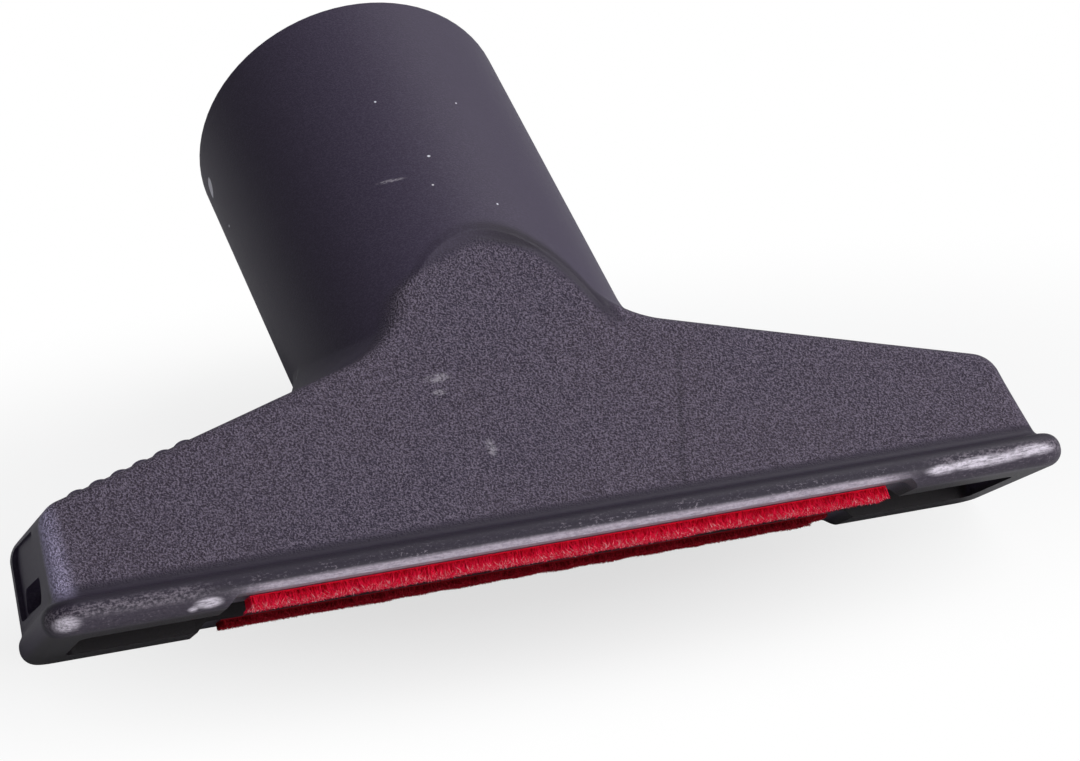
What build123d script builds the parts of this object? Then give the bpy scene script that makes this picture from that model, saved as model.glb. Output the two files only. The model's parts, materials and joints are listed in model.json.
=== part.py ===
from build123d import *
import os
from math import asin, atan, atan2, cos, degrees, hypot, radians, sin, tan

# Upholstery nozzle: a hollow fan with a long suction mouth, a leaning socket tube for the wand,
# and two velour lint strips seated in steps under the lips.
# It is drawn standing on its mouth (mouth plane at Z = 0, front towards -Y), then laid on its back.

# Mouth and rim, in millimetres
mouth_width = 119.4
mouth_depth = 29.0
rim_height = 3.8
rim_proud = 2.1
rim_end_proud = 1.8
rim_edge_radius = 1.8
rim_corner_radius = 3.8
valley_radius = 1.5
lip_depth = 7.3
slot_end_land = 4.3
slot_corner_radius = 1.5
lip_thickness = 2.6

# Fan
wall = 2.2
end_wall_height = 15.0
end_wall_lean = 5.0
end_wall_flare = 3.0
shoulder_slope = 16.7
shoulder_corner_radius = 3.5
fan_edge_radius = 2.0
rear_edge_radius = 1.2
rear_wall_lean = 22.0
face_hollow = 1.5

# Socket tube
tube_lean = 38.56
tube_length = 84.6
socket_wall = 3.05
tube_taper = 0.0126
axis_offset = -2.8
tube_rim_chamfer = 0.4
crease_height = 41.1
bore_radius = 17.65
bore_depth = 36.0
bore_chamfer = 0.8
bore_chamfer_angle = 45.0
socket_ledge = 0.65
heel_lean = 61.0
heel_radius = 4.0
heel_foot_height = 4.7
joint_blend = 9.0

# Lint strips and their steps
strip_length = 75.3
strip_width = 3.8
front_strip_proud = 0.35
rear_strip_proud = -0.2
strip_edge_radius = 0.4
step_depth = 1.05
step_end_gap = 1.6
step_ramp_lean = 45.0
step_ramp_radius = 0.8
strip_setback = 0.3
worn_length = 2.2
worn_height = 0.5

# End-wall panels and bleed holes
panel_depth = 0.6
panel_front_border = 5.0
panel_rear_border = 2.4
panel_top_border = 1.4
panel_foot_height = 4.9
panel_corner_radius = 1.5
vent_width = 9.6
vent_height = 3.0
vent_foot_height = 5.5
vent_offset = 5.3
vent_corner_radius = 1.0

# Grip ribs on the shoulders
rib_count = 6
rib_pitch = 2.7
rib_radius = 1.9
rib_proud = 0.5
rib_corner_gap = 4.9
rib_setback = 3.0

# Room for cutting past a face, and what counts as off the middle plane
past = 5.0
middle_gap = 0.01

# Half sizes of the walls where they stand in the rim
wall_x = mouth_width / 2 - rim_end_proud
wall_y = mouth_depth / 2 - rim_proud
slot_depth = mouth_depth - 2 * lip_depth

# The tube follows the bore that it has to hold
tube_radius = bore_radius + socket_wall
duct_radius = bore_radius - socket_ledge


def slanted(point, lean, reach):
    """Point at a distance from another along a line that leans from the vertical in the side view."""
    return (point[0] + reach * sin(radians(lean)), point[1] + reach * cos(radians(lean)))


def shifted(point, lean, amount):
    """Point moved square to a leaning line, away from the side that the line faces at the back."""
    return (point[0] - amount * cos(radians(lean)), point[1] + amount * sin(radians(lean)))


def crossing(first, first_lean, second, second_lean):
    """Point where two leaning lines of the side view cross."""
    ax, az = sin(radians(first_lean)), cos(radians(first_lean))
    bx, bz = sin(radians(second_lean)), cos(radians(second_lean))
    dx, dz = second[0] - first[0], second[1] - first[1]
    reach = (dx * bz - dz * bx) / (ax * bz - az * bx)
    return (first[0] + reach * ax, first[1] + reach * az)


# Where each end wall's front edge would meet the shoulder if the corner weren't rounded
end_top_x = wall_x - (end_wall_height - rim_proud) * tan(radians(end_wall_lean))

# Side view, as (y, z): the tube's axis and its front and back lines
taper_angle = degrees(atan(tube_taper))
axis_foot = (axis_offset, 0.0)
axis_end = slanted(axis_foot, tube_lean, tube_length)
back_line_end = slanted(axis_end, tube_lean + 90, tube_radius)
back_line_lean = tube_lean + taper_angle
front_line_end = slanted(axis_end, tube_lean - 90, tube_radius)
front_line_lean = tube_lean - taper_angle
front_line_level = (0.0, crease_height)

# Front face: a hollow arc from the rim to the crease where it meets the tube's front line
face_foot = (-wall_y, rim_proud)
crease = crossing(front_line_end, front_line_lean, front_line_level, 90)
face_chord = hypot(crease[0] - face_foot[0], crease[1] - face_foot[1])
face_lean = degrees(atan2(crease[0] - face_foot[0], crease[1] - face_foot[1]))
face_turn = degrees(4 * atan(2 * face_hollow / face_chord))
face_top_lean = face_lean - face_turn / 2
face_foot_lean = face_lean + face_turn / 2

# Rear wall and heel
rear_foot = (wall_y, rim_proud)
heel_foot = crossing(rear_foot, rear_wall_lean, (0.0, heel_foot_height), 90)

# How it lies: on the rear edge of the rim and on the rounded heel
rim_edge_centre = (mouth_depth / 2 - rim_edge_radius, rim_edge_radius)
heel_centre = crossing(
    shifted(heel_foot, heel_lean, heel_radius), heel_lean,
    shifted(back_line_end, back_line_lean, heel_radius), back_line_lean,
)
heel_y = heel_centre[0] - rim_edge_centre[0]
heel_z = heel_centre[1] - rim_edge_centre[1]
heel_drop = degrees(asin((heel_radius - rim_edge_radius) / hypot(heel_y, heel_z)))
lying_angle = degrees(atan2(heel_z, heel_y)) - heel_drop


def lying(point):
    """Side-view point as it stands once the nozzle is turned onto its back, before centring."""
    turn = radians(lying_angle)
    return (point[0] * cos(turn) + point[1] * sin(turn), point[1] * cos(turn) - point[0] * sin(turn))


tube_rim_corner = slanted(back_line_end, tube_lean - 90, tube_rim_chamfer)
floor_level = lying(rim_edge_centre)[1] - rim_edge_radius
lying_front = lying((-rim_edge_centre[0], rim_edge_centre[1]))[0] - rim_edge_radius
lying_back = lying(tube_rim_corner)[0]
resting = Location((0, -(lying_front + lying_back) / 2, -floor_level), (-lying_angle, 0, 0))

# Planes of the tube: at its foot and at its open end, both square to its axis
tube_direction = (0, sin(radians(tube_lean)), cos(radians(tube_lean)))
tube_foot_plane = Plane(origin=(0, *axis_foot), x_dir=(1, 0, 0), z_dir=tube_direction)
tube_end_plane = tube_foot_plane.offset(tube_length)
tube_reach = tube_length + tube_radius


def back_plane(foot, lean):
    """Plane of a leaning back wall, facing the rear."""
    return Plane(origin=(0, *foot), x_dir=(1, 0, 0), z_dir=(0, cos(radians(lean)), -sin(radians(lean))))


def end_plane(side, inset):
    """Plane of an end wall, facing outwards: it leans in towards the top and flares out to the rear."""
    lean, flare = radians(end_wall_lean), radians(end_wall_flare)
    foot_x = wall_x + wall_y * tan(flare) + rim_proud * tan(lean)
    outward = (side * cos(flare) * cos(lean), -sin(flare) * cos(lean), sin(lean))
    along = (sin(flare), side * cos(flare), 0)
    return Plane(origin=(side * foot_x, 0, 0), x_dir=along, z_dir=outward).offset(-inset)


def shoulder_outline(inset):
    """Everything under the two sloping shoulders, seen from the front."""
    ridge_height = end_wall_height + end_top_x * tan(radians(shoulder_slope))
    far_height = ridge_height - mouth_width * tan(radians(shoulder_slope))
    with BuildSketch(Plane.XZ) as outline:
        with BuildLine():
            Polyline(
                (-mouth_width, far_height), (0, ridge_height), (mouth_width, far_height),
                (mouth_width, far_height - past), (-mouth_width, far_height - past), close=True,
            )
        make_face()
        if inset > 0:
            offset(amount=-inset, mode=Mode.REPLACE)
    return outline.sketch


def behind_face(inset):
    """Side view of everything behind the front face."""
    far_back = 2 * tube_length
    face_low = crossing(face_foot, face_foot_lean, (0.0, -past), 90)
    face_high = slanted(crease, face_top_lean, tube_length)
    with BuildSketch(Plane.YZ) as region:
        with BuildLine():
            SagittaArc(face_foot, crease, -face_hollow)
            Polyline(crease, face_high, (far_back, face_high[1]), (far_back, -past), face_low, face_foot)
        make_face()
        if inset > 0:
            offset(amount=-inset, mode=Mode.REPLACE)
    return region.sketch


def ahead_of(back_foot, back_lean, inset):
    """Side view of everything in front of a leaning back line."""
    back_low = crossing(back_foot, back_lean, (0.0, -past), 90)
    back_high = slanted(back_foot, back_lean, 2 * tube_length)
    with BuildSketch(Plane.YZ) as region:
        with BuildLine():
            Polyline((-mouth_depth, -past), back_low, back_high, (-mouth_depth, back_high[1]), close=True)
        make_face()
        if inset > 0:
            offset(amount=-inset, mode=Mode.REPLACE)
    return region.sketch


def beside_middle(edge):
    """True for an edge of the right half that doesn't lie in the middle plane."""
    return edge.center().X > middle_gap


# Right half of the fan, still open to the front, with the edges of its rear wall rounded
fan_outline = shoulder_outline(0)
right_end = end_plane(1, 0)
rear_region = ahead_of(rear_foot, rear_wall_lean, 0)
with BuildPart() as fan:
    extrude(fan_outline, amount=mouth_width, both=True)
    split(bisect_by=right_end, keep=Keep.BOTTOM)
    extrude(rear_region, amount=mouth_width, mode=Mode.INTERSECT)
    end_edges = fan.faces().filter_by(right_end).edges()
    fillet(end_edges.sort_by(Axis.Z)[-1], radius=shoulder_corner_radius)
    rear_wall = fan.faces().filter_by(back_plane(rear_foot, rear_wall_lean))
    rear_edges = rear_wall.edges().filter_by(Axis.X, reverse=True)
    fillet(rear_edges.filter_by(beside_middle), radius=rear_edge_radius)

# Right half of the tube, chamfered at its open end and rounded at its heel
tube_start = slanted(axis_end, tube_lean, -tube_reach)
tube_start_front = slanted(tube_start, tube_lean - 90, tube_radius - tube_taper * tube_reach)
heel_region = ahead_of(heel_foot, heel_lean, 0)
with BuildPart() as tube:
    with BuildSketch(Plane.YZ) as tube_profile:
        with BuildLine():
            Polyline(tube_start, tube_start_front, front_line_end, axis_end, close=True)
        make_face()
        rim_corner = tube_profile.vertices().sort_by_distance(front_line_end)[0]
        chamfer(rim_corner, length=tube_rim_chamfer)
    revolve(axis=Axis((0, *axis_foot), tube_direction), revolution_arc=180)
    extrude(heel_region, amount=mouth_width, mode=Mode.INTERSECT)
    heel_cut = tube.faces().filter_by(back_plane(heel_foot, heel_lean))
    fillet(heel_cut.edges().filter_by(GeomType.ELLIPSE).sort_by(SortBy.LENGTH)[-1], radius=heel_radius)

# The two joined by a hollow blend, then cut to the front face, with the edge of that face rounded
face_region = behind_face(0)
with BuildPart() as right_half:
    add(fan.part)
    add(tube.part)
    joint_edges = right_half.edges(Select.NEW).filter_by(lambda edge: edge.center().Z > rim_proud)
    fillet(joint_edges.filter_by(beside_middle), radius=joint_blend)
    extrude(face_region, amount=mouth_width, mode=Mode.INTERSECT)
    front_face = right_half.faces().filter_by(GeomType.CYLINDER).sort_by(SortBy.AREA)[-1]
    face_edges = front_face.edges().filter_by(Axis.X, reverse=True)
    fillet(face_edges.filter_by(beside_middle), radius=fan_edge_radius)

# Rim around the mouth, rounded above and below
with BuildPart() as rim:
    with BuildSketch(Plane.XY):
        RectangleRounded(mouth_width, mouth_depth, rim_corner_radius)
    extrude(amount=rim_height)
    rim_ends = rim.faces().filter_by(Axis.Z)
    fillet(rim_ends.edges(), radius=rim_edge_radius)

# Grip ribs across both shoulders, stopping short of the front and rear faces
rib_rise = rib_pitch * sin(radians(shoulder_slope))
rib_run = rib_pitch * cos(radians(shoulder_slope))
rib_outer_x = end_top_x - rib_corner_gap
rib_sink = (rib_radius - rib_proud) / cos(radians(shoulder_slope))
rib_outer_z = end_wall_height + rib_corner_gap * tan(radians(shoulder_slope)) - rib_sink
rib_places = [
    (side * (rib_outer_x - turn * rib_run), rib_outer_z + turn * rib_rise)
    for side in (-1, 1)
    for turn in range(rib_count)
]
rib_front = behind_face(rib_setback)
rib_rear = ahead_of(rear_foot, rear_wall_lean, rib_setback)
with BuildPart() as ribs:
    with BuildSketch(Plane.XZ):
        with Locations(*rib_places):
            Circle(rib_radius)
    extrude(amount=mouth_width, both=True)
    extrude(rib_front, amount=mouth_width, both=True, mode=Mode.INTERSECT)
    extrude(rib_rear, amount=mouth_width, both=True, mode=Mode.INTERSECT)

# Everything that air fills above the lips: the fan's chamber, the duct and the socket bore
chamber_outline = shoulder_outline(wall)
chamber_rear = ahead_of(rear_foot, rear_wall_lean, wall)
duct_rear = ahead_of(heel_foot, heel_lean, wall)
hollow_front = behind_face(wall)
with BuildPart() as chamber:
    extrude(chamber_outline, amount=mouth_width, both=True)
    split(bisect_by=end_plane(1, wall), keep=Keep.BOTTOM)
    split(bisect_by=end_plane(-1, wall), keep=Keep.BOTTOM)
    extrude(chamber_rear, amount=mouth_width, both=True, mode=Mode.INTERSECT)
with BuildPart() as duct:
    with BuildSketch(tube_end_plane.offset(-tube_reach)):
        Circle(duct_radius)
    extrude(amount=tube_reach)
    extrude(duct_rear, amount=mouth_width, both=True, mode=Mode.INTERSECT)
with BuildPart() as hollow:
    add(chamber.part)
    add(duct.part)
    extrude(hollow_front, amount=mouth_width, both=True, mode=Mode.INTERSECT)
    split(bisect_by=Plane.XY.offset(lip_thickness), keep=Keep.TOP)
    with BuildSketch(tube_end_plane.offset(-bore_depth)):
        Circle(bore_radius)
    extrude(amount=bore_depth + past)
    with BuildSketch(tube_end_plane.offset(-bore_chamfer)):
        Circle(bore_radius)
    extrude(amount=bore_chamfer, taper=-bore_chamfer_angle)

# Step under the lips, right across the mouth, with ramped ends
step_half = strip_length / 2 + step_end_gap
step_spread = (step_depth + past) * tan(radians(step_ramp_lean))
with BuildPart() as step:
    with BuildSketch(Plane.XZ) as step_outline:
        with BuildLine():
            Polyline(
                (-step_half, step_depth), (step_half, step_depth),
                (step_half + step_spread, -past), (-step_half - step_spread, -past), close=True,
            )
        make_face()
        fillet(step_outline.vertices().sort_by(Axis.Y)[-2:], radius=step_ramp_radius)
    extrude(amount=mouth_depth, both=True)

# Sunken panel on each end wall, with a bleed hole through the wall at its foot
panel_front = shifted(face_foot, face_foot_lean, -panel_front_border)
panel_rear = shifted(rear_foot, rear_wall_lean, panel_rear_border)
panel_foot = (0.0, panel_foot_height)
panel_top = (0.0, end_wall_height - panel_top_border)
panel_corners = [
    crossing(panel_front, face_foot_lean, panel_foot, 90),
    crossing(panel_rear, rear_wall_lean, panel_foot, 90),
    crossing(panel_rear, rear_wall_lean, panel_top, 90),
    crossing(panel_front, face_foot_lean, panel_top, 90),
]
with BuildPart() as end_cuts:
    for side in (-1, 1):
        end_wall = end_plane(side, 0)
        with BuildSketch(end_wall) as panel:
            with BuildLine():
                Polyline(*[(side * y, z) for y, z in panel_corners], close=True)
            make_face()
            fillet(panel.vertices(), radius=panel_corner_radius)
        extrude(amount=panel_depth, both=True)
        with BuildSketch(end_wall):
            with Locations((side * vent_offset, vent_foot_height + vent_height / 2)):
                RectangleRounded(vent_width, vent_height, vent_corner_radius)
        extrude(amount=wall + past, both=True)

# Nozzle body, still standing on its mouth
with BuildPart() as standing_body:
    add(right_half.part)
    mirror(about=Plane.YZ)
    add(ribs.part)
    split(bisect_by=Plane.XY.offset(rim_proud), keep=Keep.TOP)
    add(rim.part)
    rim_shoulder = rim_height - rim_edge_radius
    valley = standing_body.edges(Select.NEW).filter_by(lambda edge: edge.center().Z > rim_shoulder)
    fillet(valley, radius=valley_radius)
    add(hollow.part, mode=Mode.SUBTRACT)
    with BuildSketch(Plane.XY):
        RectangleRounded(mouth_width - 2 * slot_end_land, slot_depth, slot_corner_radius)
    extrude(amount=lip_thickness, both=True, mode=Mode.SUBTRACT)
    add(step.part, mode=Mode.SUBTRACT)
    add(end_cuts.part, mode=Mode.SUBTRACT)

# Lint strips, still under the standing body
strip_centre = slot_depth / 2 + strip_setback + strip_width / 2


def lint_strip(side, proud):
    """Velour strip under one lip, its pile edge rounded."""
    with BuildPart() as strip:
        with BuildSketch(Plane.XY.offset(step_depth)):
            with Locations((0, side * strip_centre)):
                Rectangle(strip_length, strip_width)
        extrude(amount=-(step_depth + proud))
        pile_face = strip.faces().sort_by(Axis.Z)[0]
        fillet(pile_face.edges(), radius=strip_edge_radius)
    return strip


standing_front_strip = lint_strip(-1, front_strip_proud)
standing_rear_strip = lint_strip(1, rear_strip_proud)

# The rear strip is worn away at the lower corner of its right-hand end
worn_start = strip_length / 2 - worn_length
worn_top = worn_height - rear_strip_proud
with BuildPart() as worn_rear_strip:
    add(standing_rear_strip.part)
    with BuildSketch(Plane.XZ):
        with BuildLine():
            Polyline(
                (worn_start, -rear_strip_proud), (strip_length / 2, worn_top),
                (strip_length / 2 + past, worn_top), (strip_length / 2 + past, -past),
                (worn_start, -past), close=True,
            )
        make_face()
    extrude(amount=mouth_depth, both=True, mode=Mode.SUBTRACT)

# Each piece as it lies at rest
with BuildPart() as nozzle_body:
    add(standing_body.part.moved(resting))
nozzle_body.part.label = "nozzle_body"

with BuildPart() as front_lint_strip:
    add(standing_front_strip.part.moved(resting))
front_lint_strip.part.label = "front_lint_strip"

with BuildPart() as rear_lint_strip:
    add(worn_rear_strip.part.moved(resting))
rear_lint_strip.part.label = "rear_lint_strip"

os.makedirs("parts", exist_ok=True)
export_step(nozzle_body.part, "parts/nozzle_body.step")
export_step(front_lint_strip.part, "parts/front_lint_strip.step")
export_step(rear_lint_strip.part, "parts/rear_lint_strip.step")
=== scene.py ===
import json
import math
import random

import bpy
from mathutils import Matrix, Vector, noise

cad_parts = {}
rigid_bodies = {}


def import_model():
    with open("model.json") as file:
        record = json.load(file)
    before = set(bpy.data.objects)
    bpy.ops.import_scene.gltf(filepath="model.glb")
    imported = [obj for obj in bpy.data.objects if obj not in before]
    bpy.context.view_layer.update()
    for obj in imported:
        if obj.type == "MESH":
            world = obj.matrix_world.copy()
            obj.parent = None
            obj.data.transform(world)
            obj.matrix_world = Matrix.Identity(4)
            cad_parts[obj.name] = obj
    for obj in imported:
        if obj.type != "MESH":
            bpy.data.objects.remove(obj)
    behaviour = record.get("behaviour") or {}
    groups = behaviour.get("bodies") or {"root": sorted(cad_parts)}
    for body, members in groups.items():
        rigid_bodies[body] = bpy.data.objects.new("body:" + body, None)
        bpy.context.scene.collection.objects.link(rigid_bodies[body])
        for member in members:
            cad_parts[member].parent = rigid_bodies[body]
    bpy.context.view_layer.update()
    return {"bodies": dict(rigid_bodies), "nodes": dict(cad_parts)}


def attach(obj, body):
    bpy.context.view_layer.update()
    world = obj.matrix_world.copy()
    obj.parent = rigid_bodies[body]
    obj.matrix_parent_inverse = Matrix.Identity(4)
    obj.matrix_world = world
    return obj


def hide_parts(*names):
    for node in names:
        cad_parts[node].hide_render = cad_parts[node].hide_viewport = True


# Upholstery nozzle of dark moulded plastic with red velour lint strips, lying on its back on a pale floor.
# Places on the nozzle are given in the standing frame: millimetres, mouth plane at Z = 0, front towards -Y.

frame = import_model()
random.seed(7)
bpy.context.scene.view_settings.view_transform = "Standard"

# How the standing nozzle lies in the row frame
LYING_ANGLE = math.radians(36.92105)
LYING_SHIFT = (0.0, -36.9385, 7.990)
MM = 0.001

# Front face: a hollow arc in the side view, from the rim to the crease under the tube
FACE_FOOT = (-12.4, 2.1)
FACE_CREASE = (4.27, 41.1)
FACE_HOLLOW = 1.5

# Top of the coarse grain under the tube, and how it falls away to the sides
GRAIN_TOP = 40.0
GRAIN_TOP_SLOPE = 0.25
GRAIN_TOP_CURVE = 0.014
GRAIN_TOP_HALF = 20.0

# Socket tube: a point on its axis, how far it leans back, its radius there, its taper,
# and how far up the axis its wall and its bore start
TUBE_FOOT = (0.0, -2.8, 0.0)
TUBE_LEAN = math.radians(38.56)
TUBE_FOOT_RADIUS = 19.634
TUBE_TAPER = 0.0126
TUBE_START = 19.0
BORE_RADIUS = 17.65
BORE_START = 48.6

# Rim, lips and strips
MOUTH_DEPTH = 29.0
LIP_DEPTH = 7.3
STRIP_LENGTH = 75.3
STRIP_WIDTH = 3.8
STRIP_SETBACK = 0.3
STEP_DEPTH = 1.05
WORN_LENGTH = 2.2
VALLEY_HEIGHT = 4.2
BEAD_HEIGHT = 2.1

# Relief of the plastic: depth, and the shares of the coarse and the fine grain in it
RELIEF_DEPTH = 0.10
COARSE_RELIEF = 5.0
FINE_RELIEF = 0.35

# Sink line on the face: where it crosses the mouth plane, how it leans, and how wide it is
SINK_LINE_X = 11.97
SINK_LINE_LEAN = 0.341
SINK_LINE_WIDTH = (0.10, 0.55)

# Noises of the plastic
COARSE_GRAIN = {"scale": 4.2, "detail": 1.5, "roughness": 0.6}
FINE_GRAIN = {"scale": 4.0, "detail": 3.0, "roughness": 0.75}
COLOUR_DRIFT = {"scale": 0.05, "detail": 3.0}
STREAKS = {"scale": 1.0, "detail": 5.0, "roughness": 0.7, "stretch": (0.5, 5.0, 7.0)}
SPECKLE = {"scale": 3.5, "detail": 3.0, "roughness": 0.8, "stretch": (0.6, 1.0, 1.0)}
PATCHES = {"scale": 0.12, "detail": 3.0, "roughness": 0.6, "stretch": (1.0, 0.2, 0.2)}
FLECKS = {"scale": 2.2, "detail": 3.0, "roughness": 0.7, "stretch": (0.7, 1.0, 2.0)}

# Where the grain fades in or out: off the face on the left and on the right, above the rim, under the tube,
# and off the tube's wall along the right half of the crease
FACE_SKIN = 0.15
FACE_SKIN_LEFT = 2.6
FACE_SKIN_RIGHT = 1.0
FACE_SKIN_TURN = (-9.0, 2.0)
GRAIN_FOOT = (4.4, 5.8)
GRAIN_END = (GRAIN_TOP - 1.6, GRAIN_TOP + 0.2)
RIGHT_CREASE_X = (-2.0, 6.0)
RIGHT_CREASE_Z = (25.0, 30.0)
BARE_BAND = (0.35, 0.95)

# Where the painted shade, the painted highlight on the left edge and the sink line fade in or out
CREASE_SKIN = (0.10, 0.60)
CREASE_START = (GRAIN_TOP - 1.4, GRAIN_TOP - 0.2)
CREASE_TURN = (-3.0, 5.0)
TUBE_FOOT_SKIN = (0.10, 0.80)
TUBE_FOOT_BAND = (0.25, 0.95)
VALLEY_BAND = (0.5, 1.5)
VALLEY_BACK = (-8.0, -6.0)
LEFT_EDGE_X = (-57.6, -54.8)
LEFT_EDGE_Z = (3.4, 5.5)
LEFT_EDGE_SKIN = (1.0, 2.4)
BEAD_SHADE_TOP = (3.2, 4.0)
BEAD_SHADE_BACK = (-11.8, -10.6)
UNDERSIDE_TOP = (0.2, 1.2)
UNDERSIDE_FRONT = (-11.6, -10.8)
INSIDE_Y = (7.25, 7.6)
INSIDE_TOP = (7.0, 8.5)
INSIDE_X = (55.0, 55.6)
INSIDE_SKIN = (1.0, 1.6)
SINK_LINE_TOP = (20.0, 24.0)

# Where the wear and the painted highlight along the lip fade in or out
FRONT_OF_RIM = (-12.4, -11.6)
LIP_BAND_TOP = (1.45, 2.0)
LIP_BAND_END = (STRIP_LENGTH / 2 - 3, STRIP_LENGTH / 2 + 3)
BEAD_TOP = (2.6, 3.4)
BEAD_END_X = (40.0, 45.0)
BEAD_END_BAND = (0.3, 1.1)

# Colours of the plastic
COOL_PLASTIC = (0.030, 0.023, 0.040, 1)
WARM_PLASTIC = (0.035, 0.025, 0.038, 1)
SMOOTH_PLASTIC = (0.038, 0.029, 0.053, 1)
# The grain's peaks: real grain, lighter as a painted highlight
GRAIN_PEAK_HIGHLIGHT = (0.165, 0.137, 0.187, 1)
FINE_PEAK = (0.082, 0.068, 0.110, 1)
CREASE_SHADE = (0.014, 0.010, 0.018, 1)
VALLEY_SHADE = (0.015, 0.011, 0.020, 1)
BEAD_SHADE = (0.014, 0.011, 0.018, 1)
LINE_SHADE = (0.014, 0.012, 0.018, 1)
MOUTH_SHADE = (0.006, 0.0045, 0.004, 1)
# A painted highlight on the fan's left edge
EDGE_HIGHLIGHT = (0.52, 0.47, 0.70, 1)
RUBBED_BEAD = (0.22, 0.19, 0.23, 1)
# The lip's rubbed band, lighter also as a painted highlight
RUBBED_LIP_AND_HIGHLIGHT = (0.48, 0.42, 0.50, 1)
# Scuffs, and a painted highlight at the rim's left corner
SCUFF_AND_HIGHLIGHT = (0.74, 0.68, 0.78, 1)
FAINT_MARK = (0.40, 0.37, 0.42, 1)
CHIP = (0.82, 0.80, 0.88, 1)

# Marks of use, as (centre, size) in the standing frame
SPECKS = [
    ((-3.9, 21.1, 62.2), (0.20, 0.5, 0.20)),
    ((6.1, 20.6, 60.6), (0.17, 0.5, 0.16)),
    ((-0.9, 13.2, 52.5), (0.28, 0.5, 0.22)),
    ((-2.1, 9.8, 48.1), (0.19, 0.5, 0.18)),
    ((4.5, 7.3, 44.1), (0.18, 0.5, 0.20)),
    ((-20.5, 41.2, 53.9), (0.5, 0.4, 0.25)),
]
TUBE_CHIP = ((-20.6, 47.3, 60.7), (0.8, 1.2, 1.5))
TUBE_STREAK = ((-6.4, 12.5, 49.9), (2.4, 1.6, 0.30))
FACE_SCUFFS = [
    ((-9.6, -2.0, 22.9), (2.0, 1.5, 0.8)),
    ((-9.9, -2.7, 21.1), (1.1, 1.5, 0.5)),
    ((-6.3, -6.1, 13.4), (0.8, 1.6, 1.6)),
]
LIP_SCUFFS_AND_HIGHLIGHT = [
    # The first lies at the rim's left corner and is a painted highlight; the others are scuffs
    ((-57.7, -14.0, 1.05), (2.1, 2.2, 1.1)),
    ((-44.1, -14.2, 0.35), (0.8, 1.6, 0.4)),
    ((-42.4, -14.2, 0.7), (2.0, 1.6, 0.75)),
    ((43.2, -14.5, 1.35), (2.6, 1.6, 0.75)),
    ((48.5, -14.5, 1.5), (7.0, 1.8, 0.85)),
    ((54.5, -14.4, 1.8), (4.0, 1.8, 0.9)),
]

# Velour: the woven backing
BACKING_HEIGHT = 0.18
BACKING_INSET = 0.3
BACKING_ROUNDING = 0.1
BACKING_BEVEL = 0.12
BACKING_WAVE = 0.05
BACKING_COLUMNS = 120
BACKING_TONE = 0.4

# Velour: the pile. Spreads are (least, most) shares, leans are slopes
FIBRES_PER_STRIP = 34000
FIBRE_WIDTH = 0.11
FIBRE_WIDTH_SPREAD = (0.35, 0.6)
FIBRE_LENGTH_SPREAD = (-0.16, 0.10)
FIBRE_BEND_SPREAD = (0.4, 0.9)
FIBRE_SECTIONS = ((0.0, 1.0), (0.55, 0.85), (1.0, 0.35))
FIBRE_ROOT = 0.08
SHORTEST_FIBRE = 0.12
LEAN_ALONG = 0.55
LEAN_ACROSS = 0.20
LEAN_WITH_DRIFT = 0.10
PILE_SPLAY = 0.30
WORN_SHARE = 0.35
WORN_FRAY = 0.5

# Colours of the velour: root, tip, pale tip and sheen
FRONT_RED = ((0.80, 0.002, 0.028, 1), (0.98, 0.010, 0.070, 1), (1.0, 0.70, 0.74, 1), (1.0, 0.10, 0.20, 1))
# The rear strip: the same velour, darker as painted shade
REAR_RED_SHADED = ((0.20, 0.001, 0.006, 1), (0.36, 0.003, 0.014, 1), (0.50, 0.04, 0.06, 1), (0.45, 0.02, 0.04, 1))

# Floor, in metres: half its side, its colour, where the shadow lies in front of the nozzle and under it,
# and how white the floor is to the camera in the shadow
FLOOR_HALF = 3.0
FLOOR_GREY = (0.52, 0.52, 0.53, 1)
FRONT_SHADOW = (0.0, -0.025, 0.0)
SHADOW_STRETCH = (0.40, 1.0, 1.0)
FRONT_SHADOW_EDGE = (0.004, 0.038)
FRONT_SHADOW_WHITE = 0.68
MIDDLE_SHADOW_EDGE = (0.025, 0.065)
MIDDLE_SHADOW_WHITE = 0.84
WHITE = (1, 1, 1, 1)

# World: its colour to the camera, its tint on the object, and its strength from the left and from the right
BACKDROP = (0.8, 0.8, 0.8, 1)
SKY_TINT = (0.96, 0.97, 1.0, 1)
SKY_EDGE = 0.8
SKY_LEFT = 0.12
SKY_RIGHT = 0.50

# Lamps: place, aim, size and power
KEY_LAMP = ((0.50, 0.15, 0.78), (0, 0, 0.02), 0.7, 5.0)
FRONT_LAMP = ((0.25, -0.60, 0.40), (0, -0.03, 0.02), 0.4, 3.4)

# Camera at the photograph's viewing angle
CAMERA_PLACE = (-0.10253, -0.32395, 0.18034)
CAMERA_HEADING = math.radians(19.383)
CAMERA_TILT = math.radians(90 - 26.077)
CAMERA_ROLL = math.radians(-0.113)
CAMERA_LENS = 102.34
CAMERA_SENSOR = 36
CAMERA_NEAR = 0.01


def standing(x, y, z):
    """A place in the standing frame, in millimetres, as a place in the row frame, in metres."""
    along = y * math.cos(LYING_ANGLE) + z * math.sin(LYING_ANGLE)
    above = z * math.cos(LYING_ANGLE) - y * math.sin(LYING_ANGLE)
    return Vector((x + LYING_SHIFT[0], along + LYING_SHIFT[1], above + LYING_SHIFT[2])) * MM


# Camera
camera_data = bpy.data.cameras.new("camera")
camera_data.lens = CAMERA_LENS
camera_data.sensor_width = CAMERA_SENSOR
camera_data.sensor_fit = "HORIZONTAL"
camera_data.clip_start = CAMERA_NEAR
camera = bpy.data.objects.new("camera", camera_data)
bpy.context.scene.collection.objects.link(camera)
camera.matrix_world = (
    Matrix.Translation(CAMERA_PLACE)
    @ Matrix.Rotation(-CAMERA_HEADING, 4, "Z")
    @ Matrix.Rotation(CAMERA_TILT, 4, "X")
    @ Matrix.Rotation(CAMERA_ROLL, 4, "Z")
)
bpy.context.scene.camera = camera


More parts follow.
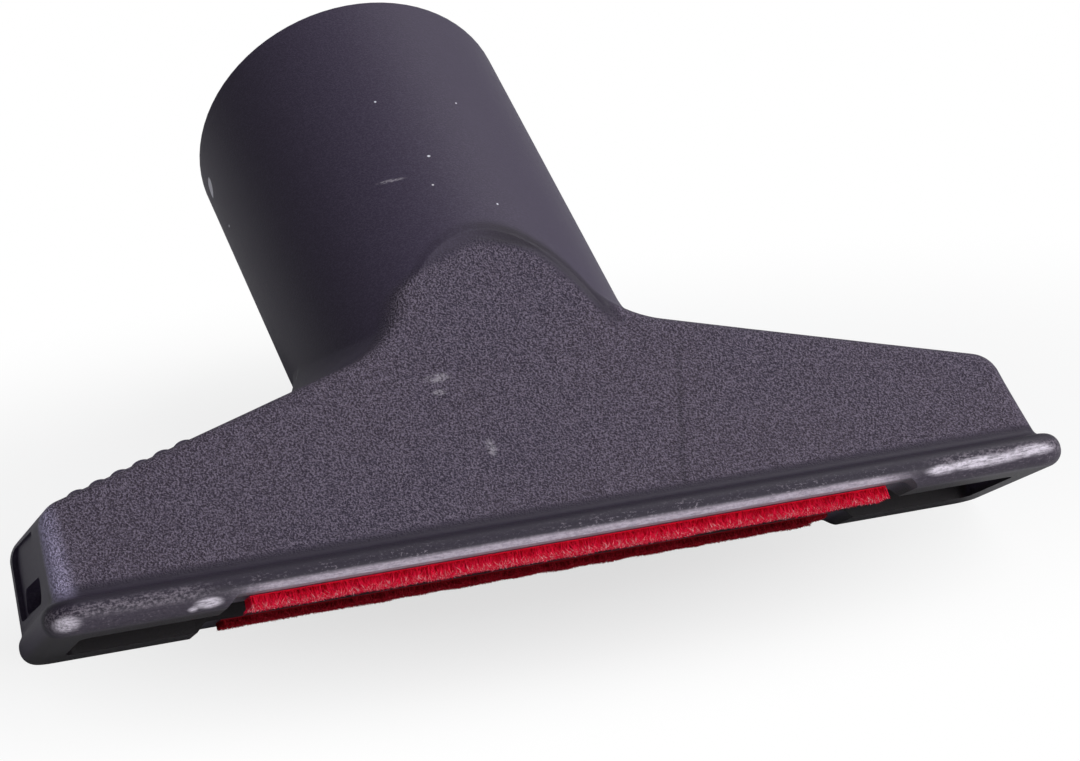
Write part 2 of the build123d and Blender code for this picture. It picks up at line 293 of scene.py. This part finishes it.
class Shader:
    """A material or a world being wired up: each call adds a node and returns one of its outputs."""

    def __init__(self, owner):
        owner.use_nodes = True
        self.owner = owner
        self.tree = owner.node_tree
        self.tree.nodes.clear()

    def plug(self, socket, value):
        """Links an output to a socket, or sets the socket to a plain value."""
        if isinstance(value, bpy.types.NodeSocket):
            self.tree.links.new(value, socket)
        else:
            socket.default_value = value

    def add(self, kind, inputs=None, output=0, **settings):
        node = self.tree.nodes.new(kind)
        for key, value in settings.items():
            setattr(node, key, value)
        for key, value in (inputs or {}).items():
            self.plug(node.inputs[key], value)
        return node.outputs[output]

    def math(self, operation, first, second=0.0, third=0.0, clamp=False):
        inputs = {0: first, 1: second, 2: third}
        return self.add("ShaderNodeMath", inputs, operation=operation, use_clamp=clamp)

    def plus(self, first, second, clamp=False):
        return self.math("ADD", first, second, clamp=clamp)

    def minus(self, first, second):
        return self.math("SUBTRACT", first, second)

    def absolute(self, value):
        return self.math("ABSOLUTE", value)

    def times(self, first, *others):
        for other in others:
            first = self.math("MULTIPLY", first, other)
        return first

    def most(self, first, *others):
        for other in others:
            first = self.math("MAXIMUM", first, other)
        return first

    def vector(self, operation, first, second=None, output=0):
        inputs = {0: first}
        if second is not None:
            inputs["Scale" if operation == "SCALE" else 1] = second
        return self.add("ShaderNodeVectorMath", inputs, output, operation=operation)

    def measure(self, operation, first, second=None):
        """A vector operation that gives a number."""
        return self.vector(operation, first, second, output=1)

    def split(self, vector):
        return tuple(self.add("ShaderNodeSeparateXYZ", {0: vector}).node.outputs)

    def fade(self, value, start, end, low=0.0, high=1.0):
        """Turns smoothly from low to high as the value goes from start to end."""
        inputs = {"Value": value, "From Min": start, "From Max": end, "To Min": low, "To Max": high}
        return self.add("ShaderNodeMapRange", inputs, interpolation_type="SMOOTHSTEP")

    def ebb(self, value, start, end, high=1.0):
        """Turns smoothly from high to 0 as the value goes from start to end."""
        return self.fade(value, start, end, high, 0.0)

    def noise(self, place, scale, detail=2.0, roughness=0.5, stretch=None):
        if stretch:
            place = self.vector("MULTIPLY", place, stretch)
        inputs = {"Vector": place, "Scale": scale, "Detail": detail, "Roughness": roughness}
        return self.add("ShaderNodeTexNoise", inputs)

    def blend(self, factor, first, second):
        """A colour that goes from the first to the second as the factor goes from 0 to 1."""
        node = self.tree.nodes.new("ShaderNodeMix")
        node.data_type = "RGBA"
        for key, value in ((0, factor), (6, first), (7, second)):
            self.plug(node.inputs[key], value)
        return node.outputs[2]

    def finish(self, surface, kind="ShaderNodeOutputMaterial"):
        output = self.tree.nodes.new(kind)
        self.tree.links.new(surface, output.inputs["Surface"])
        return self.owner


def standing_place(shader):
    """The shaded point in the standing frame, in millimetres."""
    place = shader.add("ShaderNodeTexCoord", output="Object")
    unshift = Matrix.Rotation(LYING_ANGLE, 3, "X") @ Vector(LYING_SHIFT)
    return shader.add(
        "ShaderNodeMapping",
        {"Vector": place, "Location": -unshift, "Rotation": (LYING_ANGLE, 0, 0), "Scale": (1 / MM,) * 3},
    )


def face_arc():
    """Centre (y, z) and radius of the front face's arc in the side view."""
    foot, crease = Vector(FACE_FOOT), Vector(FACE_CREASE)
    chord = crease - foot
    radius = (chord.length_squared / 4 + FACE_HOLLOW ** 2) / (2 * FACE_HOLLOW)
    ahead = Vector((-chord.y, chord.x)).normalized()
    centre = (foot + crease) / 2 + ahead * (radius - FACE_HOLLOW)
    return centre, radius


def off_face(shader, y, z):
    """How far the point is from the fan's front face."""
    centre, radius = face_arc()
    side = shader.add("ShaderNodeCombineXYZ", {"Y": y, "Z": z})
    reach = shader.measure("DISTANCE", side, (0, *centre))
    return shader.absolute(shader.minus(reach, radius))


def under_grain_top(shader, x, z):
    """The point's height, raised at the sides so that the top of the grain is at one value everywhere."""
    aside = shader.math("MINIMUM", shader.absolute(x), GRAIN_TOP_HALF)
    fall = shader.math("MULTIPLY_ADD", aside, GRAIN_TOP_CURVE, GRAIN_TOP_SLOPE)
    return shader.math("MULTIPLY_ADD", aside, fall, z)


def tube_place(shader, place):
    """Height along the tube, the spoke from its axis, the spoke's length, and its reach past the wall."""
    along = (0.0, math.sin(TUBE_LEAN), math.cos(TUBE_LEAN))
    offset = shader.vector("SUBTRACT", place, TUBE_FOOT)
    height = shader.measure("DOT_PRODUCT", offset, along)
    spoke = shader.vector("SUBTRACT", offset, shader.vector("SCALE", along, height))
    reach = shader.measure("LENGTH", spoke)
    outside = shader.minus(reach, shader.math("MULTIPLY_ADD", height, TUBE_TAPER, TUBE_FOOT_RADIUS))
    return height, spoke, reach, outside


def tube_normal(shader, tube, smooth_part):
    """The mesh's normal, with the tube's own round one where the point lies on its wall or in its bore."""
    height, spoke, reach, outside = tube
    on_wall = shader.times(
        shader.ebb(shader.absolute(outside), 0.06, 0.25), smooth_part,
        shader.fade(height, TUBE_START - 1.0, TUBE_START + 1.0),
    )
    in_bore = shader.times(
        shader.ebb(shader.absolute(shader.minus(reach, BORE_RADIUS)), 0.06, 0.12),
        shader.fade(height, BORE_START - 0.1, BORE_START + 0.1),
    )
    outward = shader.vector("SCALE", shader.vector("NORMALIZE", spoke), shader.minus(on_wall, in_bore))
    round_normal = shader.add(
        "ShaderNodeVectorRotate", {"Vector": outward, "Angle": -LYING_ANGLE}, rotation_type="X_AXIS",
    )
    mesh_normal = shader.add("ShaderNodeNewGeometry", output="Normal")
    kept = shader.vector("SCALE", mesh_normal, shader.minus(1.0, shader.most(on_wall, in_bore)))
    return shader.vector("NORMALIZE", shader.vector("ADD", round_normal, kept))


def spot(shader, place, centre, size, core=0.35):
    """1 inside an ellipsoid round a place on the nozzle, fading to 0 at its edge."""
    offset = shader.vector("SUBTRACT", place, centre)
    scaled = shader.vector("MULTIPLY", offset, tuple(1 / s for s in size))
    return shader.ebb(shader.measure("LENGTH", scaled), core, 1.0)


def spots(shader, place, marks):
    return shader.most(*(spot(shader, place, *mark) for mark in marks))


def plastic():
    """Dark purple-grey plastic: coarse grain on the fan, fine texture on the tube, scuffed lips, with
    painted highlights and painted shade.
    """
    shader = Shader(bpy.data.materials.new("dark_plastic"))
    place = standing_place(shader)
    x, y, z = shader.split(place)
    aside, sideways = shader.absolute(x), shader.absolute(y)
    behind = off_face(shader, y, z)
    under_top = under_grain_top(shader, x, z)
    tube = tube_place(shader, place)
    off_wall = shader.absolute(tube[3])

    # Coarse grain on the fan's front, except in a band along the right half of the crease
    right_crease = shader.times(shader.fade(x, *RIGHT_CREASE_X), shader.fade(z, *RIGHT_CREASE_Z))
    grained = shader.times(
        shader.ebb(behind, FACE_SKIN, shader.fade(x, *FACE_SKIN_TURN, FACE_SKIN_LEFT, FACE_SKIN_RIGHT)),
        shader.fade(z, *GRAIN_FOOT),
        shader.ebb(under_top, *GRAIN_END),
        shader.minus(1.0, shader.times(right_crease, shader.ebb(off_wall, *BARE_BAND))),
    )
    smooth_part = shader.minus(1.0, grained)
    grain = shader.noise(place, **COARSE_GRAIN)
    fine = shader.noise(place, **FINE_GRAIN)
    relief = shader.plus(shader.times(grain, grained, COARSE_RELIEF), shader.times(fine, FINE_RELIEF))

    # The plastic's own colour, with a painted highlight on the grain's peaks
    drift = shader.noise(place, **COLOUR_DRIFT)
    base = shader.blend(shader.fade(drift, 0.35, 0.65), COOL_PLASTIC, WARM_PLASTIC)
    base = shader.blend(shader.times(shader.fade(grain, 0.38, 0.66), grained), base, GRAIN_PEAK_HIGHLIGHT)
    base = shader.blend(smooth_part, base, SMOOTH_PLASTIC)
    base = shader.blend(shader.fade(fine, 0.40, 0.68, 0.0, 0.50), base, FINE_PEAK)

    # Painted shade in the crease and at the right of the tube's foot, in the valley above the rim, on the
    # bead and in the mouth, and a painted highlight on the fan's left edge
    crease = shader.times(
        shader.ebb(behind, *CREASE_SKIN), shader.fade(under_top, *CREASE_START),
        shader.fade(x, *CREASE_TURN, 0.25, 0.85),
    )
    tube_foot_shadow = shader.times(
        shader.ebb(behind, *TUBE_FOOT_SKIN, 0.7), shader.ebb(off_wall, *TUBE_FOOT_BAND), right_crease,
    )
    base = shader.blend(shader.most(crease, tube_foot_shadow), base, CREASE_SHADE)
    off_valley = shader.absolute(shader.minus(z, VALLEY_HEIGHT))
    valley = shader.times(shader.ebb(off_valley, *VALLEY_BAND), shader.ebb(y, *VALLEY_BACK, 0.75))
    base = shader.blend(valley, base, VALLEY_SHADE)
    left_edge_highlight = shader.times(
        shader.ebb(x, *LEFT_EDGE_X), shader.fade(z, *LEFT_EDGE_Z), shader.ebb(behind, *LEFT_EDGE_SKIN, 0.9),
        shader.fade(grain, 0.36, 0.60, 0.35, 1.0),
    )
    base = shader.blend(left_edge_highlight, base, EDGE_HIGHLIGHT)
    bead_shade = shader.times(shader.ebb(z, *BEAD_SHADE_TOP, 0.7), shader.ebb(y, *BEAD_SHADE_BACK))
    base = shader.blend(bead_shade, base, BEAD_SHADE)
    underside = shader.times(shader.ebb(z, *UNDERSIDE_TOP, 0.8), shader.fade(y, *UNDERSIDE_FRONT))
    inside = shader.times(
        shader.ebb(sideways, *INSIDE_Y, 0.9), shader.ebb(z, *INSIDE_TOP), shader.ebb(aside, *INSIDE_X),
        shader.fade(behind, *INSIDE_SKIN),
    )
    base = shader.blend(shader.most(underside, inside), base, MOUTH_SHADE)

    # A faint sink line down the face
    off_line = shader.absolute(shader.minus(x, shader.math("MULTIPLY_ADD", z, SINK_LINE_LEAN, SINK_LINE_X)))
    line = shader.times(shader.ebb(off_line, *SINK_LINE_WIDTH), grained, shader.ebb(z, *SINK_LINE_TOP, 0.28))
    base = shader.blend(line, base, LINE_SHADE)

    # Wear and painted highlights: a rubbed band along the lip's edge, lighter also as a painted highlight, a
    # rubbed bead, scuffs with a painted highlight at the rim's left corner, faint marks and chips
    streaks = shader.noise(place, **STREAKS)
    speckle = shader.noise(place, **SPECKLE)
    patchy = shader.noise(place, **PATCHES)
    flecks = shader.noise(place, **FLECKS)
    front = shader.ebb(y, *FRONT_OF_RIM)
    lip_wear_and_highlight = shader.times(
        shader.ebb(z, *LIP_BAND_TOP), front, shader.fade(aside, *LIP_BAND_END, 1.0, 0.10),
        shader.fade(streaks, 0.32, 0.56, 0.60, 1.0), shader.fade(speckle, 0.35, 0.60, 0.70, 1.0),
    )
    bead = shader.times(
        shader.ebb(z, *BEAD_TOP), front, shader.fade(speckle, 0.55, 0.68),
        shader.fade(patchy, 0.42, 0.62, 0.2, 0.75),
    )
    off_bead = shader.absolute(shader.minus(z, BEAD_HEIGHT))
    bead_ends = shader.times(
        shader.fade(aside, *BEAD_END_X, 0.0, 0.7), front, shader.ebb(off_bead, *BEAD_END_BAND),
        shader.fade(speckle, 0.42, 0.64),
    )
    scuffs_and_highlight = shader.times(
        spots(shader, place, LIP_SCUFFS_AND_HIGHLIGHT), shader.fade(streaks, 0.36, 0.58, 0.35, 1.0),
        shader.fade(speckle, 0.33, 0.56, 0.6, 1.0),
    )
    faint = FACE_SCUFFS + [TUBE_STREAK]
    marked = shader.times(spots(shader, place, faint), shader.fade(flecks, 0.40, 0.58))
    specks = [(centre, size, 0.2) for centre, size in SPECKS]
    chipped = spots(shader, place, specks + [(*TUBE_CHIP, 0.8)])
    base = shader.blend(shader.most(bead, bead_ends), base, RUBBED_BEAD)
    base = shader.blend(shader.times(lip_wear_and_highlight, 0.90), base, RUBBED_LIP_AND_HIGHLIGHT)
    base = shader.blend(shader.times(scuffs_and_highlight, 0.95), base, SCUFF_AND_HIGHLIGHT)
    base = shader.blend(shader.times(marked, 0.6), base, FAINT_MARK)
    base = shader.blend(shader.times(chipped, 0.95), base, CHIP)

    roughness = shader.plus(shader.fade(fine, 0.3, 0.7, 0.40, 0.50), shader.times(grained, 0.14))
    roughness = shader.plus(roughness, shader.times(lip_wear_and_highlight, 0.10), clamp=True)
    normal = tube_normal(shader, tube, smooth_part)
    bump = shader.add("ShaderNodeBump", {
        "Strength": 1.0, "Distance": RELIEF_DEPTH * MM, "Height": relief, "Normal": normal,
    })
    surface = shader.add("ShaderNodeBsdfPrincipled", {
        "Base Color": base, "Roughness": roughness, "Normal": bump, "Specular IOR Level": 0.22, "IOR": 1.45,
    })
    return shader.finish(surface)


def velour(name, root, tip, pale, sheen):
    """Red velour: each fibre has its own shade, and some are pale towards the tip."""
    shader = Shader(bpy.data.materials.new(name))
    shade = shader.add("ShaderNodeAttribute", attribute_name="shade", output="Fac")
    height = shader.add("ShaderNodeAttribute", attribute_name="height", output="Fac")
    base = shader.blend(shader.fade(height, 0.0, 0.8), root, tip)
    pale_tip = shader.times(shader.fade(shade, 0.78, 0.94), shader.fade(height, 0.50, 0.95))
    base = shader.blend(pale_tip, base, pale)
    base = shader.blend(shader.ebb(shade, 0.0, 0.3, 0.45), base, root)
    surface = shader.add("ShaderNodeBsdfPrincipled", {
        "Base Color": base, "Roughness": 0.85, "Sheen Weight": 0.5, "Sheen Roughness": 0.35,
        "Sheen Tint": sheen, "Specular IOR Level": 0.2,
    })
    return shader.finish(surface)


class Strip:
    """The mesh of one lint strip being gathered, with a shade and a height for each point."""

    def __init__(self, side):
        self.side = side
        self.middle = side * (MOUTH_DEPTH / 2 - LIP_DEPTH + STRIP_SETBACK + STRIP_WIDTH / 2)
        self.base = STEP_DEPTH - BACKING_HEIGHT
        self.half_x = STRIP_LENGTH / 2 - BACKING_INSET
        self.half_y = STRIP_WIDTH / 2 - BACKING_INSET
        self.points, self.faces, self.shades, self.heights = [], [], [], []

    def point(self, x, y, z, shade, height):
        self.points.append(standing(x, self.middle + y, z))
        self.shades.append(shade)
        self.heights.append(height)
        return len(self.points) - 1

    def backing(self):
        """A rounded slab with a slightly wavy lower face."""
        rings = []
        for column in range(BACKING_COLUMNS + 1):
            x = -self.half_x + 2 * self.half_x * column / BACKING_COLUMNS
            low = self.base + BACKING_WAVE * noise.noise(Vector((x * 0.8, self.side * 3.0, 0)))
            round_z, round_y = self.base + BACKING_ROUNDING, self.half_y - BACKING_BEVEL
            profile = [
                (-self.half_y, STEP_DEPTH), (-self.half_y, round_z), (-round_y, low),
                (round_y, low), (self.half_y, round_z), (self.half_y, STEP_DEPTH),
            ]
            rings.append([self.point(x, y, z, BACKING_TONE, 0.0) for y, z in profile])
        for first, second in zip(rings, rings[1:]):
            for k in range(len(first)):
                after = (k + 1) % len(first)
                self.faces.append((first[k], first[after], second[after], second[k]))
        self.faces.append(tuple(reversed(rings[0])))
        self.faces.append(tuple(rings[-1]))

    def fibre(self, proud, worn, ragged):
        """One fibre of the pile: a bent blade, splayed out at the strip's long sides."""
        u, v = random.uniform(-1, 1), random.uniform(-1, 1)
        x, y = u * self.half_x, v * self.half_y
        drift = noise.noise(Vector((x * 0.35, y * 0.5, self.side * 9.0)))
        length = (self.base + proud) * (1.0 + random.uniform(*FIBRE_LENGTH_SPREAD) + ragged * drift)
        if worn and x > STRIP_LENGTH / 2 - WORN_LENGTH - random.uniform(0, WORN_FRAY):
            length *= WORN_SHARE
        if length < SHORTEST_FIBRE:
            return
        at_side = v * abs(v) ** 3
        at_end = abs(u) ** 61
        lean_x = random.gauss(0, LEAN_ALONG) * (1 - at_end) + LEAN_WITH_DRIFT * drift
        lean_y = random.gauss(0, LEAN_ACROSS) + at_side * PILE_SPLAY
        turn = random.uniform(0, math.pi)
        wide = Vector((math.cos(turn), math.sin(turn))) * FIBRE_WIDTH * random.uniform(*FIBRE_WIDTH_SPREAD)
        shade = random.random()
        bend = random.uniform(*FIBRE_BEND_SPREAD)
        rows = []
        for step, narrow in FIBRE_SECTIONS:
            reach = length * step * (1 - bend * (1 - step))
            cx, cy = x + lean_x * reach, y + lean_y * reach
            cz = self.base + FIBRE_ROOT - (length + FIBRE_ROOT) * step
            rows.append((
                self.point(cx - wide.x * narrow, cy - wide.y * narrow, cz, shade, step),
                self.point(cx + wide.x * narrow, cy + wide.y * narrow, cz, shade, step),
            ))
        for low, high in zip(rows, rows[1:]):
            self.faces.append((low[0], low[1], high[1], high[0]))

    def mesh(self, name, material):
        mesh = bpy.data.meshes.new(name)
        mesh.from_pydata(self.points, [], self.faces)
        for label, values in (("shade", self.shades), ("height", self.heights)):
            layer = mesh.attributes.new(label, "FLOAT", "POINT")
            layer.data.foreach_set("value", values)
        mesh.materials.append(material)
        return mesh


def lint_strip(name, side, proud, worn, ragged, material, node):
    """A woven backing with standing pile, seated in the step under one lip."""
    made = Strip(side)
    made.backing()
    for _ in range(FIBRES_PER_STRIP):
        made.fibre(proud, worn, ragged)
    strip = bpy.data.objects.new(name, made.mesh(name, material))
    bpy.context.scene.collection.objects.link(strip)
    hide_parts(node)
    return strip


# The body keeps its solid and gets its finish
body = frame["nodes"]["nozzle_body"]
body_plastic = plastic()
for slot in body.material_slots:
    slot.material = body_plastic

front_velour = velour("front_velour", *FRONT_RED)
rear_velour_shaded = velour("rear_velour_shaded", *REAR_RED_SHADED)
front_strip = lint_strip("front_pile", -1, 0.35, False, 0.10, front_velour, "front_lint_strip")
rear_strip = lint_strip("rear_pile", 1, -0.2, True, 0.22, rear_velour_shaded, "rear_lint_strip")
BODY = next(iter(frame["bodies"])) if frame["bodies"] else "root"
for strip in (front_strip, rear_strip):
    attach(strip, BODY)

# Floor: its own shading near the nozzle, white to the camera farther out
floor_shader = Shader(bpy.data.materials.new("pale_floor"))
floor_place = floor_shader.add("ShaderNodeTexCoord", output="Object")
ahead = floor_shader.vector("SUBTRACT", floor_place, FRONT_SHADOW)
from_front = floor_shader.measure("LENGTH", floor_shader.vector("MULTIPLY", ahead, SHADOW_STRETCH))
from_middle = floor_shader.measure("LENGTH", floor_shader.vector("MULTIPLY", floor_place, SHADOW_STRETCH))
# The camera sees a white glow mixed over the floor's own shading, less of it near the nozzle than farther
# out: the shadow is real, its lightness and soft edge are painted
far = floor_shader.math(
    "MINIMUM", floor_shader.fade(from_front, *FRONT_SHADOW_EDGE, FRONT_SHADOW_WHITE),
    floor_shader.fade(from_middle, *MIDDLE_SHADOW_EDGE, MIDDLE_SHADOW_WHITE),
)
floor_look = floor_shader.add("ShaderNodeBsdfPrincipled", {
    "Base Color": FLOOR_GREY, "Roughness": 0.7, "Specular IOR Level": 0.2,
})
floor_white = floor_shader.add("ShaderNodeEmission", {"Color": WHITE, "Strength": 1.0})
floor_seen = floor_shader.add("ShaderNodeLightPath", output="Is Camera Ray")
floor_mix = floor_shader.add("ShaderNodeMixShader", {
    0: floor_shader.times(far, floor_seen), 1: floor_look, 2: floor_white,
})
floor_mesh = bpy.data.meshes.new("floor")
corners = [(-1, -1), (1, -1), (1, 1), (-1, 1)]
floor_mesh.from_pydata([(x * FLOOR_HALF, y * FLOOR_HALF, 0) for x, y in corners], [], [(0, 1, 2, 3)])
floor_mesh.materials.append(floor_shader.finish(floor_mix))
floor = bpy.data.objects.new("floor", floor_mesh)
bpy.context.scene.collection.objects.link(floor)

# World: pale grey to the camera beyond the floor, softer on the object and weaker from the left
sky = Shader(bpy.data.worlds.new("studio"))
bpy.context.scene.world = sky.owner
sky_x = sky.split(sky.add("ShaderNodeTexCoord", output="Generated"))[0]
sky_strength = sky.add("ShaderNodeMapRange", {
    "Value": sky_x, "From Min": -SKY_EDGE, "From Max": SKY_EDGE, "To Min": SKY_LEFT, "To Max": SKY_RIGHT,
})
sky_soft = sky.add("ShaderNodeBackground", {"Color": SKY_TINT, "Strength": sky_strength})
backdrop = sky.add("ShaderNodeBackground", {"Color": BACKDROP, "Strength": 1.0})
sky_seen = sky.add("ShaderNodeLightPath", output="Is Camera Ray")
sky_mix = sky.add("ShaderNodeMixShader", {0: sky_seen, 1: sky_soft, 2: backdrop})
sky.finish(sky_mix, "ShaderNodeOutputWorld")


def softbox(name, place, aim, size, power):
    """A square area lamp at a place, turned towards another."""
    data = bpy.data.lights.new(name, "AREA")
    data.shape = "SQUARE"
    data.size = size
    data.energy = power
    lamp = bpy.data.objects.new(name, data)
    bpy.context.scene.collection.objects.link(lamp)
    lamp.location = place
    lamp.rotation_euler = (Vector(aim) - Vector(place)).to_track_quat("-Z", "Y").to_euler()


softbox("key", *KEY_LAMP)
softbox("front", *FRONT_LAMP)
